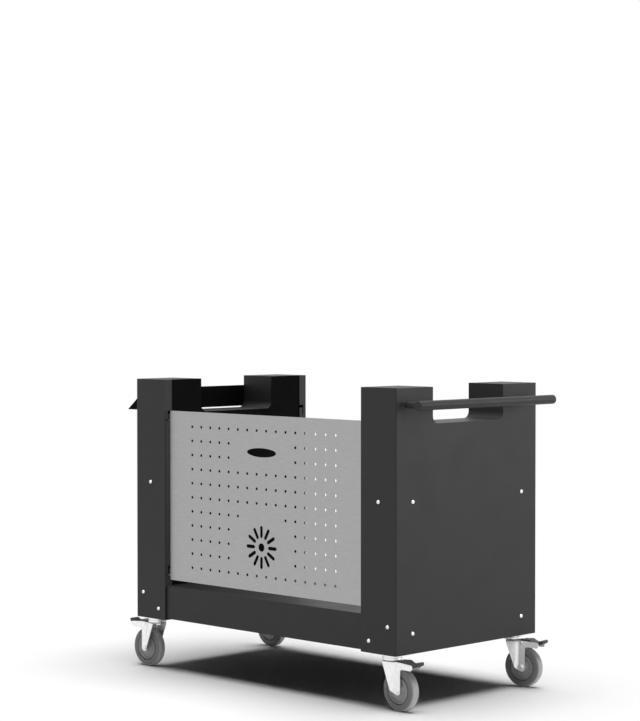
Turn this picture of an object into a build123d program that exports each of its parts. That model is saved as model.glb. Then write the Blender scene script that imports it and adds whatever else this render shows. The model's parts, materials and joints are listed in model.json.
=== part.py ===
"""An open grill cart of folded sheet steel: hollow legs, a lift-out perforated panel and braked casters."""

import math
import os

from build123d import *

# Main sizes in millimetres. The floor is z = 0, the front looks along -Y and the push handle is on +X.
cart_width = 1152.0
cart_depth = 640.0
leg_height = 777.0
leg_width = 140.0
wheel_radius = 62.5

# Sheet, folds and clearances
sheet = 2.0
heavy_sheet = 3.0
bend_radius = 4.0
lip_width = 30.0
running_gap = 0.3
seat_gap = 0.05
turning_gap = 0.06

# U-notch at the top of both walls of a leg
notch_width = 320.0
notch_depth = 108.0
notch_radius = 22.0

# Trays inside a leg
stiffener_height = 36.0
stiffener_rise = 424.0
foot_pan_height = 95.0

# Shelf with aprons, its end brackets and its ribs
shelf_rise = 111.0
apron_rise = 5.0
apron_recess = 6.0
apron_return = 20.0
shelf_end_gap = 0.5
bracket_leg = 40.0
bracket_clearance = 10.0
rib_width = 50.0
rib_height = 25.0
rib_flange = 20.0
rib_offset = 150.0

# Perforated panel: its place, its holes and its hooks
panel_sheet = 2.0
panel_side_gap = 10.5
panel_bottom_gap = 20.5
panel_drop = 99.5
panel_recess = 13.5
hole_columns = 16
hole_rows = 11
hole_pitch_x = 42.5
hole_pitch_z = 45.0
hole_radius = 4.5
hole_sides = 6
left_out_holes = ((2, 3, 6), (7, 7, 4), (8, 10, 6))  # first row, last row, middle columns left out
hand_hole_width = 129.0
hand_hole_height = 28.0
hand_hole_row = 2.5
vent_row = 9.0
vent_slots = 12
vent_slot_length = 40.0
vent_slot_width = 11.0
vent_slot_point = 5.0
vent_ring_radius = 48.0
vent_eye_radius = 13.0
hook_slot_width = 4.0
hook_slot_height = 31.0
hook_entry_height = 9.0
hook_tab_height = 6.0
hook_tab_reach = 8.0
upper_hook_drop = 33.0
lower_hook_rise = 12.0

# Push handle on the right
handle_reach = 74.0
handle_drop = 49.0
handle_radius = 14.0
handle_end_inset = 10.5
post_radius = 10.0
post_inset = 40.0

# Tool ledge on the left
ledge_reach = 88.0
ledge_height = 71.0
ledge_drop = 33.0
ledge_end_inset = 39.0

# Caster mounting and swivel
caster_inset_x = 53.0
caster_inset_y = 42.0
caster_turn = {"front_right": -2.0, "rear_right": 8.0, "front_left": 2.0, "rear_left": 0.0}
plate_length = 100.0
plate_width = 78.0
race_height = 16.2
race_radius = 28.0
race_sides = 16
kingpin_radius = 6.0
kingpin_head_radius = 11.0
kingpin_head_height = 5.0

# Caster fork, measured from the kingpin, the axle and the pedal's pin
fork_sheet = 3.0
trail = 37.0
wheel_top_gap = 17.5
wheel_side_gap = 3.0
fork_back = 20.0
fork_back_edge = 14.0
web_front = 28.0
cheek_front = 13.0
cheek_back = 24.0
cheek_drop = 11.5
cheek_corner = 11.0
arm_root = 15.0
arm_tip = 61.0
arm_above_pin = 2.3
arm_below_pin = 14.0
arm_corner = 8.0

# Wheel
tyre_width = 30.0
tyre_shoulder = 6.0
hub_radius = 41.0
wheel_sides = 32
axle_radius = 5.0
nut_radius = 9.0
nut_height = 6.0

# Brake pedal, measured from its pin
pin_radius = 3.0
pin_angle = 88.5
pin_standoff = 14.7
pedal_sheet = 3.0
pedal_side_gap = 1.0
pedal_rear = 3.5
pedal_rear_rise = 6.6
pedal_crest = 23.0
pedal_crest_rise = 8.4
pedal_dip = 49.0
pedal_dip_drop = 4.6
pedal_tip = 73.0
pedal_tip_rise = 6.4
lug_rear = 7.0
lug_rear_drop = 5.0
lug_front = 12.0
lug_inset = 3.0
shoe_reach = 14.0
shoe_leans = (14.0, 40.0)

# Places worked out from the sizes above
web_bottom = 2 * wheel_radius + wheel_top_gap
web_top = web_bottom + fork_sheet
race_bottom = web_top + running_gap
plate_bottom = race_bottom + race_height
leg_bottom = plate_bottom + heavy_sheet
leg_top = leg_bottom + leg_height
side_face = cart_width / 2
inner_face = side_face - leg_width
half_depth = cart_depth / 2
notch_floor = leg_top - notch_depth
room_inner = inner_face + 2 * sheet
room_outer = side_face - sheet
room_middle = (room_inner + room_outer) / 2
room_width = room_outer - room_inner
room_depth = cart_depth - 2 * sheet
shelf_top = leg_bottom + shelf_rise
shelf_under = shelf_top - sheet
apron_bottom = leg_bottom + apron_rise
apron_face = half_depth - apron_recess
panel_front = half_depth - panel_recess
panel_top = leg_top - panel_drop
panel_bottom = shelf_top + panel_bottom_gap
panel_middle = (panel_top + panel_bottom) / 2
hook_line = panel_front - panel_sheet / 2
hook_seats = (panel_bottom + lower_hook_rise, panel_top - upper_hook_drop)
handle_x = side_face + handle_reach
handle_z = leg_top - handle_drop
ledge_top = leg_top - ledge_drop
ledge_floor = ledge_top - ledge_height
ledge_length = cart_depth - 2 * ledge_end_inset
fork_inside = tyre_width / 2 + wheel_side_gap
fork_outside = fork_inside + fork_sheet
pin_orbit = wheel_radius + pin_standoff
pin_x = trail + pin_orbit * math.cos(math.radians(pin_angle))
pin_z = wheel_radius + pin_orbit * math.sin(math.radians(pin_angle))

sides = {"right": 1, "left": -1}
ends = {"front": -1, "rear": 1}
pieces = {}


def cut_notch(from_x, to_x):
    """Cuts the U-notch out of the current piece, between two places across the cart."""
    with BuildSketch(Plane.YZ.offset(from_x)) as notch:
        with Locations((0, leg_top)):
            Rectangle(notch_width, 2 * notch_depth)
        fillet(notch.vertices().group_by(Axis.Y)[0], notch_radius)
    extrude(notch.sketch, amount=to_x - from_x, mode=Mode.SUBTRACT)


def leg_tray(bottom, height, thickness, open_end):
    """A tray that fills the inside of the right leg. It is open above (-1) or below (0)."""
    with BuildPart() as tray:
        with BuildSketch(Plane.XY.offset(bottom)) as outline:
            with Locations((room_middle, 0)):
                Rectangle(room_width, room_depth)
            chamfer(outline.vertices(), bend_radius)
        extrude(amount=height)
        offset(amount=-thickness, openings=tray.faces().sort_by(Axis.Z)[open_end])
    return tray.part


def mirrored(part):
    """The left-hand twin of a right-hand piece."""
    with BuildPart() as twin:
        mirror(part, about=Plane.YZ)
    return twin.part


# Leg shell: front, side and rear faces and two lips, folded from one sheet
with BuildPart() as leg_shell:
    with BuildSketch(Plane.XY.offset(leg_bottom)):
        with BuildLine():
            FilletPolyline(
                (inner_face, lip_width - half_depth),
                (inner_face, -half_depth),
                (side_face, -half_depth),
                (side_face, half_depth),
                (inner_face, half_depth),
                (inner_face, half_depth - lip_width),
                radius=(0, bend_radius, bend_radius, 0),
            )
            offset(amount=sheet, side=Side.LEFT)
        make_face()
    extrude(amount=leg_height)
    cut_notch(room_outer - sheet, side_face + sheet)
    free_edge = half_depth - lip_width
    with BuildSketch(Plane.YZ.offset(inner_face - sheet)):
        for end in ends.values():
            for seat in hook_seats:
                with Locations((end * hook_line, seat + hook_slot_height / 2)):
                    Rectangle(hook_slot_width, hook_slot_height)
                entry_middle = seat + hook_slot_height - hook_entry_height / 2
                with Locations((end * (hook_line + free_edge) / 2, entry_middle)):
                    Rectangle(hook_line - free_edge + hook_slot_width, hook_entry_height)
    extrude(amount=3 * sheet, mode=Mode.SUBTRACT)
pieces["right_leg_shell"] = leg_shell.part
pieces["left_leg_shell"] = mirrored(leg_shell.part)

# Inner panel: closes the leg behind the lips, relieved where the hooks reach through
with BuildPart() as leg_inner_panel:
    with BuildSketch(Plane.YZ.offset(inner_face + sheet)):
        with Locations((0, leg_bottom + leg_height / 2)):
            Rectangle(cart_depth - 2 * (bend_radius + sheet), leg_height)
        for end in ends.values():
            for seat in hook_seats:
                with Locations((end * half_depth, seat + hook_slot_height / 2)):
                    Rectangle(2 * (lip_width + sheet), hook_slot_height + 2 * sheet, mode=Mode.SUBTRACT)
    extrude(amount=sheet)
    cut_notch(inner_face, room_inner + sheet)
pieces["right_leg_inner_panel"] = leg_inner_panel.part
pieces["left_leg_inner_panel"] = mirrored(leg_inner_panel.part)

# Notch liner: a U-bent strip between both walls of the leg
with BuildPart() as notch_liner:
    with BuildSketch(Plane.YZ.offset(room_inner)):
        with BuildLine():
            FilletPolyline(
                (-notch_width / 2, leg_top),
                (-notch_width / 2, notch_floor),
                (notch_width / 2, notch_floor),
                (notch_width / 2, leg_top),
                radius=notch_radius,
            )
            offset(amount=sheet, side=Side.RIGHT)
        make_face()
    extrude(amount=room_width)
pieces["right_notch_liner"] = notch_liner.part
pieces["left_notch_liner"] = mirrored(notch_liner.part)

# Top plates: close the leg in front of and behind the notch
top_plate_from = notch_width / 2 + sheet
top_plate_depth = half_depth - sheet - top_plate_from
with BuildPart() as top_plates:
    for end in ends.values():
        with BuildSketch(Plane.XY.offset(leg_top - heavy_sheet)) as plate_outline:
            with Locations((room_middle, end * (top_plate_from + top_plate_depth / 2))):
                Rectangle(room_width, top_plate_depth)
            outer_side = plate_outline.vertices().group_by(Axis.X)[-1].sort_by(Axis.Y)
            chamfer(outer_side[0 if end < 0 else -1], bend_radius)
        extrude(amount=heavy_sheet)
pieces["right_top_plates"] = top_plates.part
pieces["left_top_plates"] = mirrored(top_plates.part)

# Trays inside a leg: a stiffener at mid-height, and a foot pan that carries two casters
leg_stiffener = leg_tray(leg_bottom + stiffener_rise, stiffener_height, sheet, 0)
pieces["right_leg_stiffener"] = leg_stiffener
pieces["left_leg_stiffener"] = mirrored(leg_stiffener)
foot_pan = leg_tray(leg_bottom, foot_pan_height, heavy_sheet, -1)
pieces["right_foot_pan"] = foot_pan
pieces["left_foot_pan"] = mirrored(foot_pan)

# Shelf: shelf, front and rear apron and bottom returns, folded from one sheet
with BuildPart() as shelf:
    with BuildSketch(Plane.YZ.offset(shelf_end_gap - inner_face)):
        with BuildLine():
            FilletPolyline(
                (apron_return - apron_face, apron_bottom),
                (-apron_face, apron_bottom),
                (-apron_face, shelf_top),
                (apron_face, shelf_top),
                (apron_face, apron_bottom),
                (apron_face - apron_return, apron_bottom),
                radius=(0, bend_radius, bend_radius, 0),
            )
            offset(amount=sheet, side=Side.RIGHT)
        make_face()
    extrude(amount=2 * (inner_face - shelf_end_gap))
pieces["shelf"] = shelf.part

# Shelf bracket: an angle between the shelf's end and the leg
bracket_face = inner_face + sheet
bracket_length = cart_depth - 2 * (lip_width + bracket_clearance)
with BuildPart() as shelf_bracket:
    with BuildSketch(Plane.XZ):
        with BuildLine():
            Polyline(
                (bracket_face, shelf_under - bracket_leg),
                (bracket_face, shelf_under),
                (bracket_face - bracket_leg, shelf_under),
            )
            offset(amount=heavy_sheet, side=Side.LEFT, kind=Kind.INTERSECTION)
        make_face()
    extrude(amount=bracket_length / 2, both=True)
pieces["right_shelf_bracket"] = shelf_bracket.part
pieces["left_shelf_bracket"] = mirrored(shelf_bracket.part)

# Shelf ribs: hat sections along the shelf's underside
rib_length = 2 * (bracket_face - bracket_leg - bracket_clearance)
for end_name, end in ends.items():
    middle = end * rib_offset
    with BuildPart() as shelf_rib:
        with BuildSketch(Plane.YZ.offset(-rib_length / 2)):
            with BuildLine():
                Polyline(
                    (middle - rib_width / 2 - rib_flange, shelf_under),
                    (middle - rib_width / 2, shelf_under),
                    (middle - rib_width / 2, shelf_under - rib_height),
                    (middle + rib_width / 2, shelf_under - rib_height),
                    (middle + rib_width / 2, shelf_under),
                    (middle + rib_width / 2 + rib_flange, shelf_under),
                )
                offset(amount=sheet, side=Side.RIGHT, kind=Kind.INTERSECTION)
            make_face()
        extrude(amount=rib_length)
    pieces[f"{end_name}_shelf_rib"] = shelf_rib.part

# Push handle: a straight round bar on two coped posts
with BuildPart() as handle_bar:
    with BuildSketch(Plane.XZ):
        with Locations((handle_x, handle_z)):
            Circle(handle_radius)
    extrude(amount=half_depth - handle_end_inset, both=True)
pieces["handle_bar"] = handle_bar.part

with BuildPart() as handle_posts:
    with BuildSketch(Plane.YZ.offset(side_face)):
        for end in ends.values():
            with Locations((end * (half_depth - post_inset), handle_z)):
                Circle(post_radius)
    extrude(amount=handle_reach)
    with BuildSketch(Plane.XZ):
        with Locations((handle_x, handle_z)):
            Circle(handle_radius + seat_gap)
    extrude(amount=half_depth, both=True, mode=Mode.SUBTRACT)
pieces["handle_posts"] = handle_posts.part

# Tool ledge: back plate and floor folded from one sheet, with a triangular cheek at each end
with BuildPart() as tool_ledge:
    with BuildSketch(Plane.XZ):
        with BuildLine():
            FilletPolyline(
                (-side_face, ledge_top),
                (-side_face, ledge_floor),
                (-side_face - ledge_reach, ledge_floor),
                radius=bend_radius,
            )
            offset(amount=sheet, side=Side.RIGHT)
        make_face()
    extrude(amount=ledge_length / 2, both=True)
    for end in ends.values():
        with BuildSketch(Plane.XZ.offset(-end * ledge_length / 2)):
            with BuildLine():
                Polyline(
                    (-side_face - sheet / 2, ledge_top),
                    (-side_face - sheet / 2, ledge_floor + sheet / 2),
                    (-side_face - ledge_reach, ledge_floor + sheet / 2),
                    close=True,
                )
            make_face()
        extrude(amount=end * sheet)
pieces["tool_ledge"] = tool_ledge.part


# Perforated panel: a flat sheet with a field of holes, a hand-hole, a ring of vents and four hook tabs
def row_height(row):
    """The height of a row of holes, counted from 1 at the top."""
    return panel_middle + ((hole_rows + 1) / 2 - row) * hole_pitch_z


def hole_places():
    """The places of the panel's holes, apart from the middle pair of the top row."""
    for row in range(1, hole_rows + 1):
        left_out = sum(count for first, last, count in left_out_holes if first <= row <= last)
        left_out = 2 if row == 1 else left_out
        for column in range(hole_columns):
            from_middle = column - (hole_columns - 1) / 2
            if abs(from_middle) > left_out / 2:
                yield (from_middle * hole_pitch_x, row_height(row))


# The real holes are all round. The field is six-sided around the same clear width, which keeps it light.
# The middle pair of the top row stays round, because an accessory's two pegs are measured there.
with BuildPart() as perforated_panel:
    with BuildSketch(Plane.XZ.offset(panel_front)):
        with Locations((0, panel_middle)):
            Rectangle(2 * (inner_face - panel_side_gap), panel_top - panel_bottom)
        for seat in hook_seats:
            with Locations((0, seat + running_gap + hook_tab_height / 2)):
                Rectangle(2 * (inner_face + hook_tab_reach), hook_tab_height)
        with Locations(*hole_places()):
            RegularPolygon(hole_radius, hole_sides, major_radius=False, mode=Mode.SUBTRACT)
        with Locations((-hole_pitch_x / 2, row_height(1)), (hole_pitch_x / 2, row_height(1))):
            Circle(hole_radius, mode=Mode.SUBTRACT)
        with Locations((0, row_height(hand_hole_row))):
            Ellipse(hand_hole_width / 2, hand_hole_height / 2, mode=Mode.SUBTRACT)
        with Locations((0, row_height(vent_row))):
            RegularPolygon(vent_eye_radius, vent_slots, mode=Mode.SUBTRACT)
            slot_end = vent_slot_length / 2
            slot_edge = vent_slot_width / 2
            with PolarLocations(vent_ring_radius, vent_slots):
                Polygon(
                    (-slot_end, 0),
                    (vent_slot_point - slot_end, -slot_edge),
                    (slot_end - vent_slot_point, -slot_edge),
                    (slot_end, 0),
                    (slot_end - vent_slot_point, slot_edge),
                    (vent_slot_point - slot_end, slot_edge),
                    mode=Mode.SUBTRACT,
                )
    extrude(amount=-panel_sheet)
pieces["perforated_panel"] = perforated_panel.part

# Caster pieces, made once with the kingpin on the Z axis and the wheel trailing along +X
# Caster plate: a flat plate with the round race below it and a riveted kingpin through the fork
kingpin_head_top = web_bottom - running_gap
with BuildPart() as caster_plate:
    with BuildSketch(Plane.XY.offset(plate_bottom)):
        Rectangle(plate_length, plate_width)
    extrude(amount=heavy_sheet)
    with BuildSketch(Plane.XY.offset(race_bottom)):
        RegularPolygon(race_radius, race_sides)
    extrude(amount=race_height)
    with BuildSketch(Plane.XY.offset(kingpin_head_top)):
        Circle(kingpin_radius)
    extrude(amount=race_bottom - kingpin_head_top)
    with BuildSketch(Plane.XY.offset(kingpin_head_top)):
        RegularPolygon(kingpin_head_radius, 6)
    extrude(amount=-kingpin_head_height)

# Fork: a web below the race, two tapering cheeks with an arm for the pedal, and the pedal's riveted pin
cheek_heel = trail + cheek_front
with BuildPart() as fork:
    for cheek_side in (-1, 1):
        with BuildSketch(Plane.XZ.offset(cheek_side * fork_inside)) as cheek:
            with BuildLine():
                Polyline(
                    (-fork_back, web_top),
                    (pin_x + arm_root, web_top),
                    (pin_x + arm_tip, pin_z + arm_above_pin),
                    (pin_x + arm_tip, pin_z - arm_below_pin),
                    (cheek_heel, pin_z - arm_below_pin),
                    (cheek_heel, wheel_radius - cheek_drop),
                    (trail - cheek_back, wheel_radius - cheek_drop),
                    (-fork_back, web_top - fork_back_edge),
                    close=True,
                )
            make_face()
            chamfer(cheek.vertices().group_by(Axis.Y)[1], arm_corner)
            chamfer(cheek.vertices().group_by(Axis.Y)[0], cheek_corner)
            with Locations((trail, wheel_radius)):
                RegularPolygon(axle_radius + seat_gap, 6, major_radius=False, mode=Mode.SUBTRACT)
        extrude(amount=cheek_side * fork_sheet)
    with BuildSketch(Plane.XY.offset(web_bottom)):
        with Locations(((web_front - fork_back) / 2, 0)):
            Rectangle(web_front + fork_back, 2 * fork_outside)
        Circle(kingpin_radius + turning_gap, mode=Mode.SUBTRACT)
    extrude(amount=fork_sheet)
    with BuildSketch(Plane.XZ):
        with Locations((pin_x, pin_z)):
            Circle(pin_radius)
    extrude(amount=fork_outside, both=True)

with BuildPart() as axle_bolt:
    with BuildSketch(Plane.XZ):
        with Locations((trail, wheel_radius)):
            Circle(axle_radius)
    extrude(amount=fork_outside, both=True)
    for cheek_side in (-1, 1):
        with BuildSketch(Plane.XZ.offset(cheek_side * fork_outside)):
            with Locations((trail, wheel_radius)):
                RegularPolygon(nut_radius, 6)
        extrude(amount=cheek_side * nut_height)

# Wheel: a hub that turns on the axle bolt, and a tyre with chamfered shoulders seated on the hub
# Both are many-sided instead of round to stay light, with a flat side on the floor.
flat_side_down = 180 / wheel_sides
with BuildPart() as wheel_hub:
    with BuildSketch(Plane.XZ):
        with Locations((trail, wheel_radius)):
            RegularPolygon(hub_radius, wheel_sides, major_radius=False, rotation=flat_side_down)
            Circle(axle_radius + turning_gap, mode=Mode.SUBTRACT)
    extrude(amount=fork_inside - wheel_side_gap / 2, both=True)

with BuildPart() as tyre:
    with BuildSketch(Plane.XZ):
        with Locations((trail, wheel_radius)):
            RegularPolygon(wheel_radius, wheel_sides, major_radius=False, rotation=flat_side_down)
    extrude(amount=tyre_width / 2, both=True)
    chamfer(tyre.edges().group_by(Axis.Y)[0] + tyre.edges().group_by(Axis.Y)[-1], tyre_shoulder)
    with BuildSketch(Plane.XZ):
        with Locations((trail, wheel_radius)):
            RegularPolygon(hub_radius + seat_gap, wheel_sides, major_radius=False, rotation=flat_side_down)
    extrude(amount=tyre_width / 2, both=True, mode=Mode.SUBTRACT)

# Brake pedal: a bent tread plate, and a lug below it that turns on the pin and presses its shoe on the tyre
pedal_half = fork_inside - pedal_side_gap
lug_top = pin_z + pedal_rear_rise + pedal_sheet / 2
shoe_angles = [math.radians(pin_angle + 180 + lean) for lean in shoe_leans]
shoe_corners = [(pin_x + shoe_reach * math.cos(a), pin_z + shoe_reach * math.sin(a)) for a in shoe_angles]
with BuildPart() as brake_pedal:
    with BuildSketch(Plane.XZ):
        with BuildLine():
            FilletPolyline(
                (pin_x - pedal_rear, pin_z + pedal_rear_rise),
                (pin_x + pedal_crest, pin_z + pedal_crest_rise),
                (pin_x + pedal_dip, pin_z - pedal_dip_drop),
                (pin_x + pedal_tip, pin_z + pedal_tip_rise),
                radius=bend_radius,
            )
            offset(amount=pedal_sheet, side=Side.LEFT)
        make_face()
    extrude(amount=pedal_half, both=True)
    with BuildSketch(Plane.XZ):
        with BuildLine():
            Polyline(
                (pin_x - pedal_rear, lug_top),
                (pin_x - lug_rear, pin_z - lug_rear_drop),
                *shoe_corners,
                (pin_x + lug_front, lug_top),
                close=True,
            )
        make_face()
    extrude(amount=pedal_half - lug_inset, both=True)
    with BuildSketch(Plane.XZ):
        with Locations((pin_x, pin_z)):
            Circle(pin_radius + turning_gap)
    extrude(amount=fork_outside, both=True, mode=Mode.SUBTRACT)

caster_pieces = {
    "plate": caster_plate.part,
    "fork": fork.part,
    "axle_bolt": axle_bolt.part,
    "wheel_hub": wheel_hub.part,
    "tyre": tyre.part,
    "brake_pedal": brake_pedal.part,
}
for side_name, side in sides.items():
    for end_name, end in ends.items():
        corner = f"{end_name}_{side_name}"
        kingpin = (side * (side_face - caster_inset_x), end * (half_depth - caster_inset_y), 0)
        outwards = 0 if side > 0 else 180
        for name, part in caster_pieces.items():
            heading = outwards if name == "plate" else outwards + caster_turn[corner]
            with BuildPart() as placed:
                with Locations(Location(kingpin, (0, 0, heading))):
                    add(part)
            pieces[f"{corner}_caster_{name}"] = placed.part

os.makedirs("parts", exist_ok=True)
for name, part in pieces.items():
    part.label = name
    export_step(part, f"parts/{name}.step")
print(len(pieces), "pieces written")
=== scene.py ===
# %% [markdown]
# # A rolling grill cart, dressed in Blender
# The cart is two hollow legs of folded sheet steel, a low shelf between them, a lift-out
# perforated panel in front, a push handle, a tool ledge and four braked casters. The CAD
# model already holds every piece in its place, so it is loaded as a fixed frame first.
# Everything below adds finish and small detail to it, in the same metres.

# %% Load the frame
import json
import math

import bmesh
import bpy
from mathutils import Matrix, Vector


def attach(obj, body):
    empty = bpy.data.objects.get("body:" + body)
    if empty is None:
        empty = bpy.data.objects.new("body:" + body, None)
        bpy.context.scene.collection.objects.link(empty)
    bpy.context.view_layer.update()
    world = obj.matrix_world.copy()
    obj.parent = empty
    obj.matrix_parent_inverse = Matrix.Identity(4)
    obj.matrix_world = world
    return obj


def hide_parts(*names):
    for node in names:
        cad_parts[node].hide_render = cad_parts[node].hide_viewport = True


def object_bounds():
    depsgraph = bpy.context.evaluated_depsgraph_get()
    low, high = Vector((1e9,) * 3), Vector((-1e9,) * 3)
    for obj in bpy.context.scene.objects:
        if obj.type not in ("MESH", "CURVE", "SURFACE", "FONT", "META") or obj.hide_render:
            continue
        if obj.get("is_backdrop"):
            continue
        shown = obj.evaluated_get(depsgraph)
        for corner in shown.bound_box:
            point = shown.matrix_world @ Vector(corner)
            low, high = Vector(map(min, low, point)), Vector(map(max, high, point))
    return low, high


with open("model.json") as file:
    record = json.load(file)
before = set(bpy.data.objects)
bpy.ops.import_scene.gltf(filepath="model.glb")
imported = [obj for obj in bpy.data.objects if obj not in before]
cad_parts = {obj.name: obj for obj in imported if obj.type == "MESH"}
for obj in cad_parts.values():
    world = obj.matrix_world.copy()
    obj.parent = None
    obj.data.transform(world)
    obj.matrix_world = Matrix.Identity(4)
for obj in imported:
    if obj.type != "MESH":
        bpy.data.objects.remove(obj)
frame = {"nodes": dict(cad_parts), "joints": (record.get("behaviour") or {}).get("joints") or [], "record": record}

cad_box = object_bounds()

# %% [markdown]
# ## Tools for the finishes
# A real finish is never one flat number: powder coat is grainy, brushed steel is streaked,
# rubber is dusty. All of that can be drawn with noise that lives in the object's own
# metres, so one blotch has a true size and no texture picture has to be unwrapped.
# Each tool below adds a node or two and hands back the socket that the next one needs.

# %% Start a finish and lay noise on it
def new_finish(name):
    finish = bpy.data.materials.new(name)
    finish.use_nodes = True
    return finish, finish.node_tree, finish.node_tree.nodes["Principled BSDF"]


def noise_on(tree, blotch, stretch=(1, 1, 1), detail=2.0):
    """Noise whose blotches are `blotch` metres wide, divided by `stretch` along each axis."""
    place = tree.nodes.new("ShaderNodeTexCoord")
    scale = tree.nodes.new("ShaderNodeMapping")
    scale.inputs["Scale"].default_value = stretch
    noise = tree.nodes.new("ShaderNodeTexNoise")
    noise.inputs["Scale"].default_value = 1 / blotch
    noise.inputs["Detail"].default_value = detail
    tree.links.new(place.outputs["Object"], scale.inputs["Vector"])
    tree.links.new(scale.outputs["Vector"], noise.inputs["Vector"])
    return noise.outputs["Fac"]


print("noise tools ready")

# %% Turn noise into colour, roughness and relief
def colour_from(tree, pattern, dark, light, low=0.35, high=0.65):
    ramp = tree.nodes.new("ShaderNodeValToRGB")
    ramp.color_ramp.elements[0].position = low
    ramp.color_ramp.elements[1].position = high
    ramp.color_ramp.elements[0].color = (*dark, 1)
    ramp.color_ramp.elements[1].color = (*light, 1)
    tree.links.new(pattern, ramp.inputs["Fac"])
    return ramp.outputs["Color"]


def spread(tree, pattern, low, high):
    stretch = tree.nodes.new("ShaderNodeMapRange")
    stretch.inputs["From Min"].default_value = 0.3
    stretch.inputs["From Max"].default_value = 0.7
    stretch.inputs["To Min"].default_value = low
    stretch.inputs["To Max"].default_value = high
    tree.links.new(pattern, stretch.inputs["Value"])
    return stretch.outputs["Result"]


def relief(tree, pattern, height):
    bump = tree.nodes.new("ShaderNodeBump")
    bump.inputs["Strength"].default_value = 1.0
    bump.inputs["Distance"].default_value = height
    tree.links.new(pattern, bump.inputs["Height"])
    return bump


print("colour, roughness and relief tools ready")

# %% [markdown]
# ## Black coats
# The legs, shelf and handle are sprayed with charged powder and baked, which leaves a
# charcoal skin with a fine pebbled grain and softly rounded edges. The ledge is a deeper,
# duller black; the walls inside the legs take the same black as painted shade, for the
# shade inside the legs. The grain could be modelled, but at a millimetre across it belongs
# in the relief of the shader. A bevel node rounds the light on every cut edge by under a
# millimetre, as the baked skin does.

# %% Black coats
def black_coat(name, dark, light, roughness, shine):
    finish, tree, shader = new_finish(name)
    grain = noise_on(tree, 0.0011, detail=3.0)
    clouds = noise_on(tree, 0.09)
    tree.links.new(colour_from(tree, grain, dark, light), shader.inputs["Base Color"])
    tree.links.new(spread(tree, clouds, *roughness), shader.inputs["Roughness"])
    shader.inputs["Specular IOR Level"].default_value = shine
    soft_edge = tree.nodes.new("ShaderNodeBevel")
    soft_edge.samples = 6
    soft_edge.inputs["Radius"].default_value = 0.0007
    pebbles = relief(tree, grain, 0.00004)
    tree.links.new(soft_edge.outputs["Normal"], pebbles.inputs["Normal"])
    tree.links.new(pebbles.outputs["Normal"], shader.inputs["Normal"])
    return finish


finishes = {
    "black_powder_coat": black_coat(
        "black_powder_coat", (0.019, 0.019, 0.0195), (0.029, 0.029, 0.030), (0.49, 0.55), 0.28),
    # deep black: the ledge's own colour, and painted shade on the walls inside the legs
    "satin_black": black_coat(
        "satin_black", (0.003, 0.003, 0.003), (0.006, 0.006, 0.006), (0.66, 0.76), 0.04),
}
print("made", *finishes)

# %% [markdown]
# ## Brushed stainless sheet
# The panel is brushed along its length, so its scratches are long and hair-thin. Noise
# drawn out to fifty times its width along X gives the same hairs. They vary the grey a
# little, the gloss more, and stand a few thousandths of a millimetre proud. The cut edges
# are painted near black, as painted shade for the dark insides of the holes: the finish
# looks at which way a face turns and darkens every face that isn't the front or the back.

# %% Brushed stainless sheet
def painted_shade_on_edges(tree, face_colour, edge_shade_colour):
    """Keeps a colour on faces that look along Y and paints all others dark, as painted shade."""
    place = tree.nodes.new("ShaderNodeTexCoord")
    parts = tree.nodes.new("ShaderNodeSeparateXYZ")
    either_way = tree.nodes.new("ShaderNodeMath")
    either_way.operation = "ABSOLUTE"
    is_face = tree.nodes.new("ShaderNodeMapRange")
    is_face.inputs["From Min"].default_value = 0.5
    is_face.inputs["From Max"].default_value = 0.8
    mix = tree.nodes.new("ShaderNodeMix")
    mix.data_type = "RGBA"
    mix.inputs["A"].default_value = (*edge_shade_colour, 1)
    tree.links.new(place.outputs["Normal"], parts.inputs["Vector"])
    tree.links.new(parts.outputs["Y"], either_way.inputs[0])
    tree.links.new(either_way.outputs[0], is_face.inputs["Value"])
    tree.links.new(is_face.outputs["Result"], mix.inputs["Factor"])
    tree.links.new(face_colour, mix.inputs["B"])
    return mix.outputs["Result"]


def brushed_sheet():
    finish, tree, shader = new_finish("brushed_sheet")
    hairs = noise_on(tree, 0.0007, stretch=(0.02, 1, 1), detail=3.0)
    brushed = colour_from(tree, hairs, (0.345, 0.345, 0.35), (0.415, 0.415, 0.415))
    # hole walls and cut edges near black: painted shade for the dark insides of the holes
    tree.links.new(painted_shade_on_edges(tree, brushed, (0.02, 0.02, 0.02)), shader.inputs["Base Color"])
    tree.links.new(spread(tree, hairs, 0.30, 0.44), shader.inputs["Roughness"])
    shader.inputs["Metallic"].default_value = 1.0
    shader.inputs["Anisotropic"].default_value = 0.4
    tree.links.new(relief(tree, hairs, 0.000006).outputs["Normal"], shader.inputs["Normal"])
    return finish


finishes["brushed_sheet"] = brushed_sheet()
print("made", *finishes)

# %% [markdown]
# ## Bright zinc plate
# Forks, caster plates, bolts and screws are pressed steel dipped in zinc. The plating is
# bright but not a mirror: it carries faint cloudy patches a centimetre wide where it
# crystallised. Two noises, one for tone and one for gloss, keep the patches from matching.

# %% Bright zinc plate
def zinc_plate():
    finish, tree, shader = new_finish("zinc_plate")
    patches = noise_on(tree, 0.010, detail=3.0)
    haze = noise_on(tree, 0.025)
    plated = colour_from(tree, patches, (0.84, 0.84, 0.85), (0.90, 0.90, 0.90))
    tree.links.new(plated, shader.inputs["Base Color"])
    tree.links.new(spread(tree, haze, 0.34, 0.44), shader.inputs["Roughness"])
    shader.inputs["Metallic"].default_value = 1.0
    soft_edge = tree.nodes.new("ShaderNodeBevel")
    soft_edge.samples = 6
    soft_edge.inputs["Radius"].default_value = 0.0008
    ripple = relief(tree, patches, 0.000012)
    tree.links.new(soft_edge.outputs["Normal"], ripple.inputs["Normal"])
    tree.links.new(ripple.outputs["Normal"], shader.inputs["Normal"])
    return finish


finishes["zinc_plate"] = zinc_plate()
print("made", *finishes)
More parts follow.
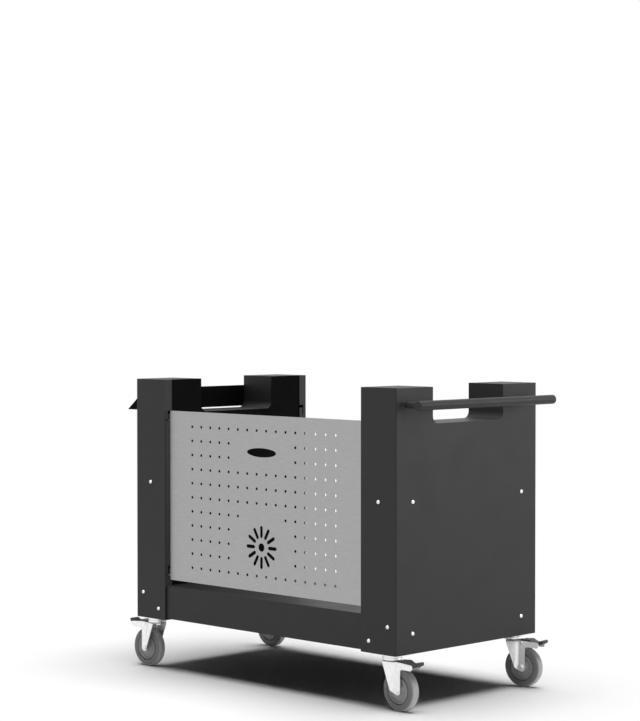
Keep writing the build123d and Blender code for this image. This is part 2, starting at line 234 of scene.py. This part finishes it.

# %% [markdown]
# ## Grey tyre rubber
# The non-marking rubber is mid grey; its tread is painted paler, a painted highlight for
# the light on the tread. Each tyre's own origin is on its axle, so the distance from that
# axle tells side from tread: the length of (x, 0, z) drives the ramp, and dust breaks it up.

# %% Grey tyre rubber
tyre_radius = 0.0625
shoulder_share = 0.92


def grey_tyre():
    finish, tree, shader = new_finish("grey_tyre")
    place = tree.nodes.new("ShaderNodeTexCoord")
    across = tree.nodes.new("ShaderNodeVectorMath")
    across.operation = "MULTIPLY"
    across.inputs[1].default_value = (1, 0, 1)
    from_axle = tree.nodes.new("ShaderNodeVectorMath")
    from_axle.operation = "LENGTH"
    # the ramp from side to tread places the tread's painted highlight
    painted_lit_tread = tree.nodes.new("ShaderNodeMapRange")
    painted_lit_tread.inputs["From Min"].default_value = shoulder_share * tyre_radius
    painted_lit_tread.inputs["From Max"].default_value = tyre_radius
    dust = noise_on(tree, 0.004, detail=4.0)
    dust_and_lit_tread = tree.nodes.new("ShaderNodeMath")
    dust_and_lit_tread.operation = "MULTIPLY_ADD"
    dust_and_lit_tread.inputs[1].default_value = 0.25
    tree.links.new(place.outputs["Object"], across.inputs[0])
    tree.links.new(across.outputs["Vector"], from_axle.inputs[0])
    tree.links.new(from_axle.outputs["Value"], painted_lit_tread.inputs["Value"])
    tree.links.new(dust, dust_and_lit_tread.inputs[0])
    tree.links.new(painted_lit_tread.outputs["Result"], dust_and_lit_tread.inputs[2])
    # the paler tread grey is a painted highlight, not the rubber's own colour
    side_grey, lit_tread_grey = (0.19, 0.19, 0.192), (0.63, 0.63, 0.63)
    rubber = colour_from(tree, dust_and_lit_tread.outputs["Value"], side_grey, lit_tread_grey, 0.05, 1.1)
    tree.links.new(rubber, shader.inputs["Base Color"])
    tree.links.new(spread(tree, dust, 0.55, 0.75), shader.inputs["Roughness"])
    tree.links.new(relief(tree, dust, 0.00008).outputs["Normal"], shader.inputs["Normal"])
    return finish


finishes["grey_tyre"] = grey_tyre()
print("made", *finishes)

# %% [markdown]
# ## Hub plastic and pedal coating
# The hubs are moulded nylon with a faint cloudy flow, and the pedals are dipped in a
# black plastic coat that is glossier than the legs' powder. They differ only in tone,
# gloss and grain, so one recipe makes both.

# %% Hub plastic and pedal coating
def moulded(name, dark, light, gloss, grain_size):
    finish, tree, shader = new_finish(name)
    flow = noise_on(tree, grain_size * 12, detail=3.0)
    grain = noise_on(tree, grain_size)
    tree.links.new(colour_from(tree, flow, dark, light), shader.inputs["Base Color"])
    tree.links.new(spread(tree, grain, *gloss), shader.inputs["Roughness"])
    tree.links.new(relief(tree, grain, 0.00003).outputs["Normal"], shader.inputs["Normal"])
    return finish


finishes["hub_plastic"] = moulded(
    "hub_plastic", (0.29, 0.29, 0.293), (0.36, 0.36, 0.36), (0.40, 0.52), 0.0012)
finishes["black_pedal"] = moulded(
    "black_pedal", (0.020, 0.020, 0.021), (0.034, 0.034, 0.035), (0.40, 0.52), 0.0009)
print("made", *finishes)

# %% [markdown]
# ## Dress the CAD pieces
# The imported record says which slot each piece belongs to, so no list is typed again here:
# every piece takes the finish that carries its slot's name.

# %% Dress the CAD pieces
for part in frame["record"]["subparts"]:
    skin = frame["nodes"][part["node"]].data.materials
    skin.clear()
    skin.append(finishes[part["material_slot"]])

# %% [markdown]
# ## Putting a new piece on the cart
# Every new piece needs the same four things: a name, a finish, smooth shading that still
# breaks at real edges, and a body to ride on. One helper does all four.

# %% Put a piece on the cart
def put_on(name, mesh, slot, body, place=None, sharp=35):
    mesh.materials.clear()
    mesh.materials.append(finishes[slot])
    mesh.shade_smooth()
    mesh.set_sharp_from_angle(angle=math.radians(sharp))
    piece = bpy.data.objects.new(name, mesh)
    bpy.context.scene.collection.objects.link(piece)
    if place is not None:
        piece.matrix_world = place
    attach(piece, body)
    return piece


print("pieces can be put on the cart")

# %% [markdown]
# ## The perforated panel
# The CAD panel has six-sided holes to stay light, and the real one is punched round. A
# flat curve is the neatest way to draw a punched sheet: its outer loop is the blank,
# every loop inside it becomes a hole when the curve is filled, and its extrusion is the
# sheet's thickness. A small bevel rolls the punched edges over. Filling leaves slivers as
# long as the panel between the holes, so the flat faces are evened out afterwards.

# %% Places on the panel
MM = 0.001
panel_front, panel_sheet = -306.5, 2.0
panel_half, panel_bottom, panel_top = 425.5, 296.5, 842.5
tab_half, tab_height, tab_rests = 444.0, 6.0, (308.8, 809.8)
pitch_x, pitch_z, top_row = 42.5, 45.0, 794.5
rows, columns, hole_radius = 11, 16, 4.5
vent_row, vents, vent_eye = 9, 12, 13.0
hand_hole_row, hand_hole_half_width, hand_hole_half_height = 2.5, 64.5, 14.0


def row_height(row):
    return top_row - (row - 1) * pitch_z


def punched_holes():
    """All holes of the field, apart from the middle ones that make room for larger cut-outs."""
    middle_left_out = {row: 6 for row in (2, 3, 8, 9, 10)}
    middle_left_out[7] = 4
    for row in range(1, rows + 1):
        for column in range(columns):
            from_middle = column - (columns - 1) / 2
            if abs(from_middle) > middle_left_out.get(row, 0) / 2:
                yield from_middle * pitch_x, row_height(row)


print(len(list(punched_holes())), "round holes in the panel")

# %% Loops of the panel
def oval(middle_x, middle_z, half_width, half_height, points):
    turns = [2 * math.pi * i / points for i in range(points)]
    return [(middle_x + half_width * math.cos(t), middle_z + half_height * math.sin(t)) for t in turns]


def vent_slot(turn, ring=48.0, half_length=20.0, half_width=5.5, point=5.0):
    """One pointed slot of the ring of vents, turned around the ring's middle."""
    shape = [(-half_length, 0), (point - half_length, -half_width), (half_length - point, -half_width),
             (half_length, 0), (half_length - point, half_width), (point - half_length, half_width)]
    c, s = math.cos(turn), math.sin(turn)
    middle = row_height(vent_row)
    return [((ring + x) * c - z * s, middle + (ring + x) * s + z * c) for x, z in shape]


edge = [(panel_half, panel_bottom)]
for rest in tab_rests:
    over = rest + tab_height
    edge += [(panel_half, rest), (tab_half, rest), (tab_half, over), (panel_half, over)]
edge.append((panel_half, panel_top))
blank = edge + [(-x, z) for x, z in reversed(edge)]
hand_hole = oval(0, row_height(hand_hole_row), hand_hole_half_width, hand_hole_half_height, points=48)
loops = [blank, hand_hole, oval(0, row_height(vent_row), vent_eye, vent_eye, points=24)]
loops += [vent_slot(2 * math.pi * i / vents) for i in range(vents)]
loops += [oval(x, z, hole_radius, hole_radius, points=16) for x, z in punched_holes()]
print(len(loops), "loops: one blank and", len(loops) - 1, "openings")

# %% Even out a filled face
def even_triangles(mesh, half_thickness):
    """Turns the edges inside the two flat faces of a filled sheet, until no slivers are left."""
    flat = bmesh.new()
    flat.from_mesh(mesh)

    def on_a_face(element):
        return all(abs(abs(v.co.z) - half_thickness) < 1e-7 for v in element.verts)

    faces = [face for face in flat.faces if on_a_face(face)]
    shared = [edge for edge in flat.edges if len(edge.link_faces) == 2]
    edges = [edge for edge in shared if all(map(on_a_face, edge.link_faces))]
    bmesh.ops.beautify_fill(flat, faces=faces, edges=edges, method="ANGLE")
    flat.to_mesh(mesh)
    flat.free()


print("flat faces can be evened out")

# %% Fill the loops into a sheet
def punched_sheet(name, loops, thickness, rolled_edge):
    """A flat sheet in XY, as thick along Z as asked, filled between its loops."""
    curve = bpy.data.curves.new(name, "CURVE")
    curve.dimensions = "2D"
    curve.fill_mode = "BOTH"
    curve.extrude = (thickness / 2 - rolled_edge) * MM
    curve.bevel_depth = rolled_edge * MM
    curve.bevel_resolution = 1
    curve.offset = -rolled_edge * MM
    for loop in loops:
        spline = curve.splines.new("POLY")
        spline.points.add(len(loop) - 1)
        spline.use_cyclic_u = True
        for point, (x, y) in zip(spline.points, loop):
            point.co = (x * MM, y * MM, 0, 1)
    drawn = bpy.data.objects.new(name, curve)
    mesh = bpy.data.meshes.new_from_object(drawn)
    bpy.data.objects.remove(drawn)
    bpy.data.curves.remove(curve)
    even_triangles(mesh, thickness / 2 * MM)
    return mesh


panel_rolled_edge = 0.25
panel_mesh = punched_sheet("panel_sheet", loops, panel_sheet, panel_rolled_edge)
stood_up = Matrix.Rotation(math.pi / 2, 4, "X")
middle_of_sheet = Matrix.Translation((0, (panel_front + panel_sheet / 2) * MM, 0))
panel_mesh.transform(middle_of_sheet @ stood_up)
panel = put_on("punched_panel", panel_mesh, "brushed_sheet", "panel")
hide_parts("perforated_panel")
print("panel mesh has", len(panel_mesh.polygons), "faces")

# %% [markdown]
# ## Turned pieces
# Tyres, hubs and the handle bar are all round about one line. The plain way is a lathe:
# draw half of the section as points of (along the axle, distance from it), then spin
# it once around. A spin keeps the number of points in hand, where a boolean would not.
# A section that stops short of the axle is closed first, so that no skin is left open.

# %% A lathe
def lathe(name, section, segments):
    """Spins a section of (along Y, radius) points, in millimetres, around Y into a closed skin."""
    turning = bmesh.new()
    points = [turning.verts.new((radius * MM, along * MM, 0)) for along, radius in section]
    lines = [turning.edges.new(pair) for pair in zip(points, points[1:])]
    if section[0][1] > 0:
        lines.append(turning.edges.new((points[-1], points[0])))
    bmesh.ops.spin(turning, geom=points + lines, axis=(0, 1, 0), cent=(0, 0, 0), angle=2 * math.pi,
                   steps=segments, use_merge=True)
    bmesh.ops.remove_doubles(turning, verts=turning.verts, dist=1e-6)
    bmesh.ops.recalc_face_normals(turning, faces=turning.faces)
    mesh = bpy.data.meshes.new(name)
    turning.to_mesh(mesh)
    turning.free()
    return mesh


print("lathe ready")

# %% [markdown]
# ## Tyres
# A caster tyre has a slightly crowned tread, round shoulders and a shallow channel on each
# side where it meets the hub. The section below is half of it; its mirror is the other.
# The four casters differ only in place, which the joints in the record already give.

# %% Place of each wheel
corners = ("front_right", "rear_right", "front_left", "rear_left")
joints = {joint["name"]: joint for joint in frame["joints"]}


def on_joint(name):
    """A place whose origin is on a joint, with the joint's axis as its Y and up as its Z."""
    axis = Vector(joints[name]["axis"]).normalized()
    up = Vector((0, 0, 1))
    turned = Matrix((axis.cross(up), axis, up)).transposed().to_4x4()
    return Matrix.Translation(joints[name]["pos_m"]) @ turned


for corner in corners:
    print(corner, "axle at", [round(v, 4) for v in on_joint(corner + "_wheel_roll").translation])

# %% Tyres
half_tyre = [(0, 62.5), (5, 62.4), (8.4, 61.9), (11.2, 60.8), (13.3, 58.8), (14.4, 56.2), (15, 53.4),
             (15, 49.4), (14.2, 48.6), (14.2, 46.6), (14.9, 45.8), (14.6, 43.0), (10.6, 41.4)]
tyre_section = [(-along, radius) for along, radius in reversed(half_tyre)] + half_tyre[1:]
wheel_segments = 72
tyre_mesh = lathe("tyre", tyre_section, wheel_segments)
for corner in corners:
    axle = on_joint(corner + "_wheel_roll")
    tyre = put_on(corner + "_round_tyre", tyre_mesh, "grey_tyre", corner + "_wheel", axle)
    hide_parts(corner + "_caster_tyre")
print("turned 4 tyres of", len(tyre_mesh.polygons), "faces")

# %% [markdown]
# ## Hubs
# The moulded hub has a raised rim inside the tyre, a dished web and a boss around the
# axle. The dark ring seen on each wheel is the step between rim and tyre, so the step
# is real geometry and makes its own shadow.

# %% Hubs
half_hub = [(9.4, 41.0), (9.4, 39.4), (14.2, 38.9), (15.2, 37.9), (15.2, 34.6), (14.4, 33.6),
            (12.4, 32.4), (11.8, 30.4), (12.2, 20.0), (13.4, 17.8), (15.6, 16.8), (16.4, 15.6),
            (16.4, 5.2)]
hub_section = [(-along, radius) for along, radius in reversed(half_hub)] + half_hub
hub_mesh = lathe("hub", hub_section, wheel_segments)
for corner in corners:
    axle = on_joint(corner + "_wheel_roll")
    hub = put_on(corner + "_round_hub", hub_mesh, "hub_plastic", corner + "_wheel", axle)
    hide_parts(corner + "_caster_wheel_hub")
print("turned 4 hubs of", len(hub_mesh.polygons), "faces")

# %% [markdown]
# ## Push handle
# The bar is plain round steel, coated, with its ends just eased so that they don't catch.
# The CAD bar is right but its ends are sharp, so the lathe turns one with rounded ends.
# Each post is welded to the leg's side wall, and the bead shows there as a small hollow
# ring in the coat.

# %% Handle bar
handle_x, handle_z, handle_half, handle_radius = 650.0, 893.0, 309.5, 14.0
easing = 2.5
eased = [(handle_half - easing + easing * math.sin(a), handle_radius - easing + easing * math.cos(a))
         for a in (math.radians(15 * i) for i in range(7))]
bar_end = [(0, handle_radius)] + eased + [(handle_half, 0)]
bar_section = [(-along, radius) for along, radius in reversed(bar_end)] + bar_end[1:]
bar_mesh = lathe("handle", bar_section, segments=56)
bar = put_on("round_handle_bar", bar_mesh, "black_powder_coat", "cart",
             Matrix.Translation((handle_x * MM, 0, handle_z * MM)))
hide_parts("handle_bar")
print("handle bar is", 2 * handle_half, "mm long")

# %% Weld beads of the posts
side_wall_x, post_y = 576, 280
bead_section = [(0, 13.2), (0.5, 12.0), (1.3, 10.9), (2.6, 10.3), (3.4, 10.0), (0, 9.8)]
bead_mesh = lathe("bead", bead_section, segments=40)
outwards = Matrix.Rotation(-math.pi / 2, 4, "Z")
for end, y in (("front", -post_y), ("rear", post_y)):
    put_on(end + "_post_bead", bead_mesh, "black_powder_coat", "cart",
           Matrix.Translation((side_wall_x * MM, y * MM, handle_z * MM)) @ outwards)
print("two weld beads at the side wall")

# %% [markdown]
# ## Screws and bolts
# Bright button-head screws dot the legs: they hold the folded sheets to the trays and
# brackets inside. A head is a stack of rings, each round or six-sided, skinned from the
# base up over the dome and down into the key socket. One head is made and then planted
# many times into a single mesh, which stays one piece on the cart. Both ends of the
# stack are capped, the hidden one too, so each head is a closed skin.

# %% Heads made of rings
def ring_radius(kind, size, turn):
    """size is a circle's radius, or half the width across a hexagon's flats."""
    if kind == "round":
        return size
    return size / math.cos((turn + math.pi / 6) % (math.pi / 3) - math.pi / 6)


def head_of_rings(rings, segments=24):
    """Skins rings of (kind, size, height) in their order, and caps the first and the last."""
    head = bmesh.new()
    turns = [2 * math.pi * i / segments for i in range(segments)]
    made = []
    for kind, size, height in rings:
        reach = [ring_radius(kind, size, t) * MM for t in turns]
        ring = [(r * math.cos(t), r * math.sin(t), height * MM) for r, t in zip(reach, turns)]
        made.append([head.verts.new(point) for point in ring])
    for lower, upper in zip(made, made[1:]):
        for i in range(segments):
            j = (i + 1) % segments
            head.faces.new((lower[i], lower[j], upper[j], upper[i]))
    caps = [head.faces.new(reversed(made[0])), head.faces.new(made[-1])]
    bmesh.ops.poke(head, faces=caps)
    return head


def planted(name, rings, places, slot, body):
    """Copies one head to every place of (point, outward direction) and puts them on as one piece."""
    mesh = bpy.data.meshes.new(name)
    all_heads = bmesh.new()
    for point, out in places:
        head = head_of_rings(rings)
        single = bpy.data.meshes.new("single")
        stand = Vector(out).to_track_quat("Z", "Y").to_matrix().to_4x4()
        head.transform(Matrix.Translation(Vector(point) * MM) @ stand)
        head.to_mesh(single)
        all_heads.from_mesh(single)
        head.free()
        bpy.data.meshes.remove(single)
    all_heads.to_mesh(mesh)
    all_heads.free()
    return put_on(name, mesh, slot, body)


print("head tools ready")

# %% Leg screws
button_head = [("round", 6.2, -0.2), ("round", 6.2, 0.5), ("round", 5.9, 1.3), ("round", 5.4, 2.1),
               ("round", 4.7, 2.8), ("round", 3.9, 3.2), ("round", 3.2, 3.4),
               ("six-sided", 2.4, 3.4), ("six-sided", 2.3, 1.4)]
front_wall_y = 320
spots_on_front = ((506, 609), (543, 247.5), (468, 200))
spots_on_side = ((248, 609), (248, 224.5))
leg_screws = []
for side in (1, -1):
    for end in (1, -1):
        for x, z in spots_on_front:
            leg_screws.append(((side * x, end * front_wall_y, z), (0, end, 0)))
        for y, z in spots_on_side:
            leg_screws.append(((side * side_wall_x, end * y, z), (side, 0, 0)))
planted("leg_screws", button_head, leg_screws, "zinc_plate", "cart")
print(len(leg_screws), "button-head screws on the legs")

# %% Ledge screws, shelf bolts and plate screws
ledge_plate_x, ledge_screw_z = -578, 874
ledge_screws = [((ledge_plate_x, y, ledge_screw_z), (-1, 0, 0)) for y in (-208.5, 208.5)]
planted("ledge_screws", button_head, ledge_screws, "zinc_plate", "cart")

bolt_head = [("round", 8.5, -0.2), ("round", 8.5, 1.4), ("six-sided", 6.4, 1.4), ("six-sided", 6.4, 5.6),
             ("round", 6.0, 6.4)]
inner_wall_x, shelf_bolt_z = 435, 248
shelf_bolts = [((side * inner_wall_x, y, shelf_bolt_z), (-side, 0, 0))
               for side in (1, -1) for y in (-210, 0, 210)]
planted("shelf_bolts", bolt_head, shelf_bolts, "zinc_plate", "cart")

flush_head = [("round", 7.0, -0.1), ("round", 6.8, 0.3), ("round", 3.4, 0.5), ("six-sided", 2.5, 0.5),
              ("six-sided", 2.4, -0.1)]
kingpin_x, kingpin_y, plate_underside = 523, 278, 162
plate_screws = [((sx * kingpin_x + dx, sy * kingpin_y + dy, plate_underside), (0, 0, -1))
                for sx in (1, -1) for sy in (1, -1) for dx in (-38, 38) for dy in (-28, 28)]
planted("plate_screws", flush_head, plate_screws, "zinc_plate", "cart")
print(len(ledge_screws), "ledge screws and", len(shelf_bolts), "shelf bolts")
print(len(plate_screws), "plate screws")

# %% [markdown]
# ## Swivel cups
# A caster's swivel race sits in a round pressed cup, which the CAD keeps as a plain prism.
# A thin turned skirt around its lower half gives the round rim that catches the light.
# Below the rim a black ring fills the gap between cup and fork. Its black is painted shade:
# it draws the thin dark line of that gap.

# %% Swivel cups
skirt_section = [(1.6, 27.0), (1.6, 28.6), (2.2, 29.2), (7.6, 29.2), (8.8, 28.6), (9.2, 27.0)]
# the ring's black is painted shade for the dark line in the gap below the cup
shade_ring_section = [(0.1, 26.0), (0.1, 28.2), (0.4, 28.6), (1.4, 28.6), (1.8, 28.2), (1.8, 26.0)]
cup_segments, race_bottom = 56, 145.8
skirt_mesh = lathe("skirt", skirt_section, cup_segments)
shade_ring_mesh = lathe("seal", shade_ring_section, cup_segments)
for corner in corners:
    kingpin = Vector(joints[corner + "_swivel_turn"]["pos_m"])
    kingpin.z = race_bottom * MM
    place = Matrix.Translation(kingpin) @ stood_up
    put_on(corner + "_swivel_skirt", skirt_mesh, "zinc_plate", "cart", place)
    put_on(corner + "_swivel_shade_ring", shade_ring_mesh, "satin_black", "cart", place)
print("four swivel cups with seals")

# %% [markdown]
# ## Pressed forks
# A caster fork is stamped from one strip: two cheeks hang from a web, and each cheek is
# creased so that its back edge flares out past the swivel cup. Drawing one cheek, rolling
# its top edge over into half of the web, and letting modifiers mirror and thicken it
# follows the real stamping, and keeps the sheet equally thick around every bend. The
# shading breaks at a smaller angle than elsewhere, so that the flat cheeks look flat.

# %% Outlines with eased corners
def eased_outline(turns, steps=6):
    """Points around (x, z, cut) corners, each rounded from `cut` before it to `cut` after it."""
    points = []
    for i, (x, z, cut) in enumerate(turns):
        corner = Vector((x, z))
        start = corner + (Vector(turns[i - 1][:2]) - corner).normalized() * cut
        end = corner + (Vector(turns[(i + 1) % len(turns)][:2]) - corner).normalized() * cut
        for step in range(steps + 1 if cut else 1):
            t = step / steps
            points.append((1 - t) ** 2 * start + 2 * t * (1 - t) * corner + t * t * end)
    return [tuple(point) for point in points]


fork_outside, web_top, fold, web_front = 21.0, 145.5, 5.0, 28.0
back_high, back_low = (-10.0, web_top - fold), (21.5, 60.0)
cheek_corners = [(*back_high, 0), (web_front, web_top - fold, 0), (31, web_top, 2), (54, web_top, 9),
                 (100, 142, 3), (100, 125.7, 9), (52, 125.7, 9), (52, 50, 11), (34, 49.5, 6),
                 (*back_low, 9)]
cheek_outline = eased_outline(cheek_corners)
print("a cheek has", len(cheek_outline), "points around it")

# %% Half a fork
crease, crease_half, flare = 28.0, 4.0, 10.5


def cheek_face(x, z):
    """Distance of a cheek's outer face from the middle: even before the crease, more behind it."""
    down = min(1.0, (back_high[1] - z) / (back_high[1] - back_low[1]))
    back_edge = back_high[0] + down * (back_low[0] - back_high[0])
    behind = max(0.0, crease + crease_half - x)
    eased = behind ** 2 / (4 * crease_half) if behind < 2 * crease_half else behind - crease_half
    return fork_outside + flare * min(1.0, eased / (crease - back_edge))


def half_fork():
    """One cheek, its fold and half of the web, as a sheet with no thickness."""
    half = bmesh.new()
    half.faces.new([half.verts.new((x * MM, 0, z * MM)) for x, z in cheek_outline])
    bend_lines = [crease + step * crease_half / 2 for step in range(-2, 3)] + [-4, 2, 8, 14, 20]
    for x in bend_lines:
        everything = half.verts[:] + half.edges[:] + half.faces[:]
        cut_at = (x * MM, 0, 0)
        bmesh.ops.bisect_plane(half, geom=everything, plane_co=cut_at, plane_no=(1, 0, 0), dist=1e-6)
    for vert in half.verts:
        vert.co.y = cheek_face(vert.co.x / MM, vert.co.z / MM) * MM
    fold_line = (web_top - fold) * MM
    on_fold = [v for v in half.verts if abs(v.co.z - fold_line) < 1e-6]
    row = [v for v in on_fold if v.co.x < (web_front + 0.1) * MM]
    row.sort(key=lambda v: v.co.x)
    rows = [row]
    for angle in (math.radians(15 * i) for i in range(1, 7)):
        inwards, upwards = fold * (1 - math.cos(angle)) * MM, fold * math.sin(angle) * MM
        rows.append([half.verts.new(v.co + Vector((0, -inwards, upwards))) for v in row])
    rows.append([half.verts.new((v.co.x, 0, web_top * MM)) for v in row])
    for lower, upper in zip(rows, rows[1:]):
        for a, b, c, d in zip(lower, lower[1:], upper[1:], upper):
            half.faces.new((a, b, c, d))
    bmesh.ops.recalc_face_normals(half, faces=half.faces)
    if max(half.faces, key=lambda f: f.calc_center_median().z).normal.z < 0:
        bmesh.ops.reverse_faces(half, faces=half.faces)
    mesh = bpy.data.meshes.new("half_fork")
    half.to_mesh(mesh)
    half.free()
    return mesh


fork_blank = half_fork()
print("half a fork has", len(fork_blank.polygons), "faces")

# %% Mirror, thicken and round the forks
def with_modifiers(name, mesh, *recipe):
    """Runs modifiers of (kind, settings) over a mesh and gives the finished mesh."""
    blank = bpy.data.objects.new(name, mesh)
    bpy.context.scene.collection.objects.link(blank)
    for kind, settings in recipe:
        modifier = blank.modifiers.new(kind.lower(), kind)
        for setting, value in settings.items():
            setattr(modifier, setting, value)
    done = bpy.data.meshes.new_from_object(blank.evaluated_get(bpy.context.evaluated_depsgraph_get()))
    bpy.data.objects.remove(blank)
    return done


def on_caster(corner):
    """A place on the floor below a kingpin, with the wheel trailing along its X."""
    place = on_joint(corner + "_wheel_roll")
    place.translation = joints[corner + "_swivel_turn"]["pos_m"]
    return place


fork_sheet, fork_edge = 3.0, 0.7
mirror = {"use_axis": (False, True, False), "merge_threshold": 1e-5}
thicken = {"thickness": fork_sheet * MM, "offset": -1.0}
round_off = {"width": fork_edge * MM, "segments": 2, "limit_method": "ANGLE",
             "angle_limit": math.radians(50)}
fork_mesh = with_modifiers(
    "fork", fork_blank, ("MIRROR", mirror), ("SOLIDIFY", thicken), ("BEVEL", round_off))
for corner in corners:
    place = on_caster(corner)
    fork = put_on(corner + "_pressed_fork", fork_mesh, "zinc_plate", corner + "_swivel", place, sharp=20)
    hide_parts(corner + "_caster_fork")
print("pressed 4 forks of", len(fork_mesh.polygons), "faces")

# %% [markdown]
# ## Pedal pads
# The end of each brake pedal is dipped into a thick ribbed pad, so that a shoe doesn't slip
# off it. Its side view tells everything: a rounded tongue around the plate with four low
# ribs on top. That outline is drawn once, filled and pulled out to the pedal's width.

# %% Pedal pads
pad_low, pad_high, pad_below, pad_above = Vector((89.5, 137.2)), Vector((112.6, 147.8)), 6.0, 4.2
along = (pad_high - pad_low).normalized()
across = Vector((-along.y, along.x))
ribs = 4
pad_outline = [pad_low - across * pad_below * 0.6, pad_low + along * 5 - across * pad_below,
               pad_high - along * 4 - across * pad_below, pad_high - across * pad_below * 0.5,
               pad_high + along * 1.4, pad_high + across * pad_above * 0.6]
rib_step = (pad_high - pad_low).length / (ribs + 0.5)
for rib in reversed(range(ribs)):
    root = pad_low + along * rib_step * (rib + 0.5)
    for on_rib, rise in ((0.85, 0.62), (0.70, 1.0), (0.30, 1.0), (0.15, 0.62)):
        pad_outline.append(root + along * rib_step * on_rib + across * pad_above * rise)
pad_outline.append(pad_low + across * pad_above * 0.4)
pad_width, pad_rolled_edge = 33.0, 0.9
pad_mesh = punched_sheet("pad", [[tuple(p) for p in pad_outline]], pad_width, pad_rolled_edge)
pad_mesh.transform(stood_up)
for corner in corners:
    put_on(corner + "_pedal_pad", pad_mesh, "black_pedal", corner + "_pedal", on_caster(corner))
print("four pedal pads with", ribs, "ribs each")

# %% [markdown]
# ## Washers and rivets
# The axle nuts sit on washers, and the pedal's pin goes through both cheeks and is riveted
# over. Both are stacks of rings again, so the screws' helper plants them on each cheek.

# %% Washers and rivets on the forks
washer = [("round", 11.0, -0.1), ("round", 11.0, 1.1), ("round", 10.7, 1.4), ("round", 5.0, 1.4)]
rivet = [("round", 3.0, -fork_outside - 0.5), ("round", 3.0, -0.1), ("round", 5.2, -0.1),
         ("round", 5.1, 0.6), ("round", 4.6, 1.3), ("round", 3.4, 1.9), ("round", 1.6, 2.2)]
for corner in corners:
    for detail, rings, joint in (("washers", washer, "_wheel_roll"), ("rivets", rivet, "_brake_press")):
        middle = on_joint(corner + joint)
        out = middle.to_3x3().col[1]
        spots = [(middle.translation / MM + out * side * fork_outside, out * side) for side in (1, -1)]
        planted(corner + "_" + detail, rings, spots, "zinc_plate", corner + "_swivel")
print("washers and rivets on four forks")

# %% [markdown]
# ## Stage
# The cart stands on a white floor that runs out of sight. One matte quad is enough: it
# takes the shadow, and without gloss it doesn't mirror the casters.

# %% Floor
floor_mesh = bpy.data.meshes.new("floor")
reach = 60.0
floor_mesh.from_pydata(
    [(-reach, -reach, 0), (reach, -reach, 0), (reach, reach, 0), (-reach, reach, 0)], [], [(0, 1, 2, 3)])
floor = bpy.data.objects.new("floor", floor_mesh)
bpy.context.scene.collection.objects.link(floor)
white_floor, _, shader = new_finish("white_floor")
shader.inputs["Base Color"].default_value = (0.98, 0.98, 0.98, 1)
shader.inputs["Roughness"].default_value = 1.0
shader.inputs["Specular IOR Level"].default_value = 0.0
floor_mesh.materials.append(white_floor)
floor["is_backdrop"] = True
print("floor", 2 * reach, "m wide")

# %% [markdown]
# ## Light
# One sun with a very wide disc, almost straight above, works like a bright ceiling and
# gives the dark soft-edged shadow below the shelf. A weak even sky keeps the undersides
# from going black. A softbox behind on the right shows in reflections only, where it lifts
# the sheen of the side wall. Rays from the camera and reflections see pure white in the
# sky, so the background and the bright metal stay white without more light on the cart.

# %% Sky
world = bpy.data.worlds.new("studio")
bpy.context.scene.world = world
world.use_nodes = True
sky = world.node_tree
sky.nodes.clear()
fill = sky.nodes.new("ShaderNodeBackground")
white = sky.nodes.new("ShaderNodeBackground")
fill.inputs["Color"].default_value = (1, 1, 1, 1)
fill.inputs["Strength"].default_value = 0.035
white.inputs["Color"].default_value = (1, 1, 1, 1)
white.inputs["Strength"].default_value = 1.0
path = sky.nodes.new("ShaderNodeLightPath")
blend = sky.nodes.new("ShaderNodeMixShader")
seen = sky.nodes.new("ShaderNodeMath")
seen.operation = "MAXIMUM"
seen_or_through = sky.nodes.new("ShaderNodeMath")
seen_or_through.operation = "MAXIMUM"
output = sky.nodes.new("ShaderNodeOutputWorld")
sky.links.new(path.outputs["Is Camera Ray"], seen.inputs[0])
sky.links.new(path.outputs["Is Glossy Ray"], seen.inputs[1])
sky.links.new(seen.outputs[0], seen_or_through.inputs[0])
sky.links.new(path.outputs["Is Transmission Ray"], seen_or_through.inputs[1])
sky.links.new(seen_or_through.outputs[0], blend.inputs["Fac"])
sky.links.new(fill.outputs[0], blend.inputs[1])
sky.links.new(white.outputs[0], blend.inputs[2])
sky.links.new(blend.outputs[0], output.inputs["Surface"])
print("sky fills at", fill.inputs["Strength"].default_value)

# %% Lamps
def aimed(obj, place, at):
    obj.location = place
    obj.rotation_euler = (Vector(at) - Vector(place)).to_track_quat("-Z", "Y").to_euler()
    bpy.context.scene.collection.objects.link(obj)
    return obj


overhead = bpy.data.lights.new("overhead_sun", "SUN")
overhead.energy = 3.10
overhead.angle = math.radians(50)
aimed(bpy.data.objects.new("overhead_sun", overhead), (0.1, 0.2, 6), (0, 0, 0))

softbox = bpy.data.lights.new("side_softbox", "AREA")
softbox.shape = "RECTANGLE"
softbox.size, softbox.size_y = 3.5, 3.0
softbox.energy = 145
card = aimed(bpy.data.objects.new("side_softbox", softbox), (5.0, 4.4, 2.2), (0.5, 0, 0.6))
card.visible_diffuse = False
print("one sun and one softbox")

# %% [markdown]
# ## Camera
# A long lens from almost seven metres away keeps the upright edges parallel and the near
# leg no larger than the far one should look. The eye is a little above the legs' tops, so
# these show as thin strips.

# %% Camera
eye = Vector((4.6833, -4.7744, 1.1763))
turn, tilt = math.radians(44.75), math.radians(1.46)
ahead = Vector((-math.sin(turn) * math.cos(tilt), math.cos(turn) * math.cos(tilt), -math.sin(tilt)))
camera = bpy.data.cameras.new("camera")
camera.sensor_width = 36.0
camera.lens = 105.06
camera.clip_end = 200.0
viewer = aimed(bpy.data.objects.new("camera", camera), eye, eye + ahead)
bpy.context.scene.camera = viewer
bpy.context.scene.view_settings.view_transform = "Standard"
print("camera lens", camera.lens, "mm at", [round(v, 3) for v in eye])

# %% [markdown]
# ## The size before and after
# Dressing must not change the cart's size, so the box of the bare CAD and the box of the
# dressed model are printed side by side.

# %% The size before and after
dressed_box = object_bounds()
for name, box in (("cad", cad_box), ("visual", dressed_box)):
    print(name, [[round(n, 4) for n in corner] for corner in box])
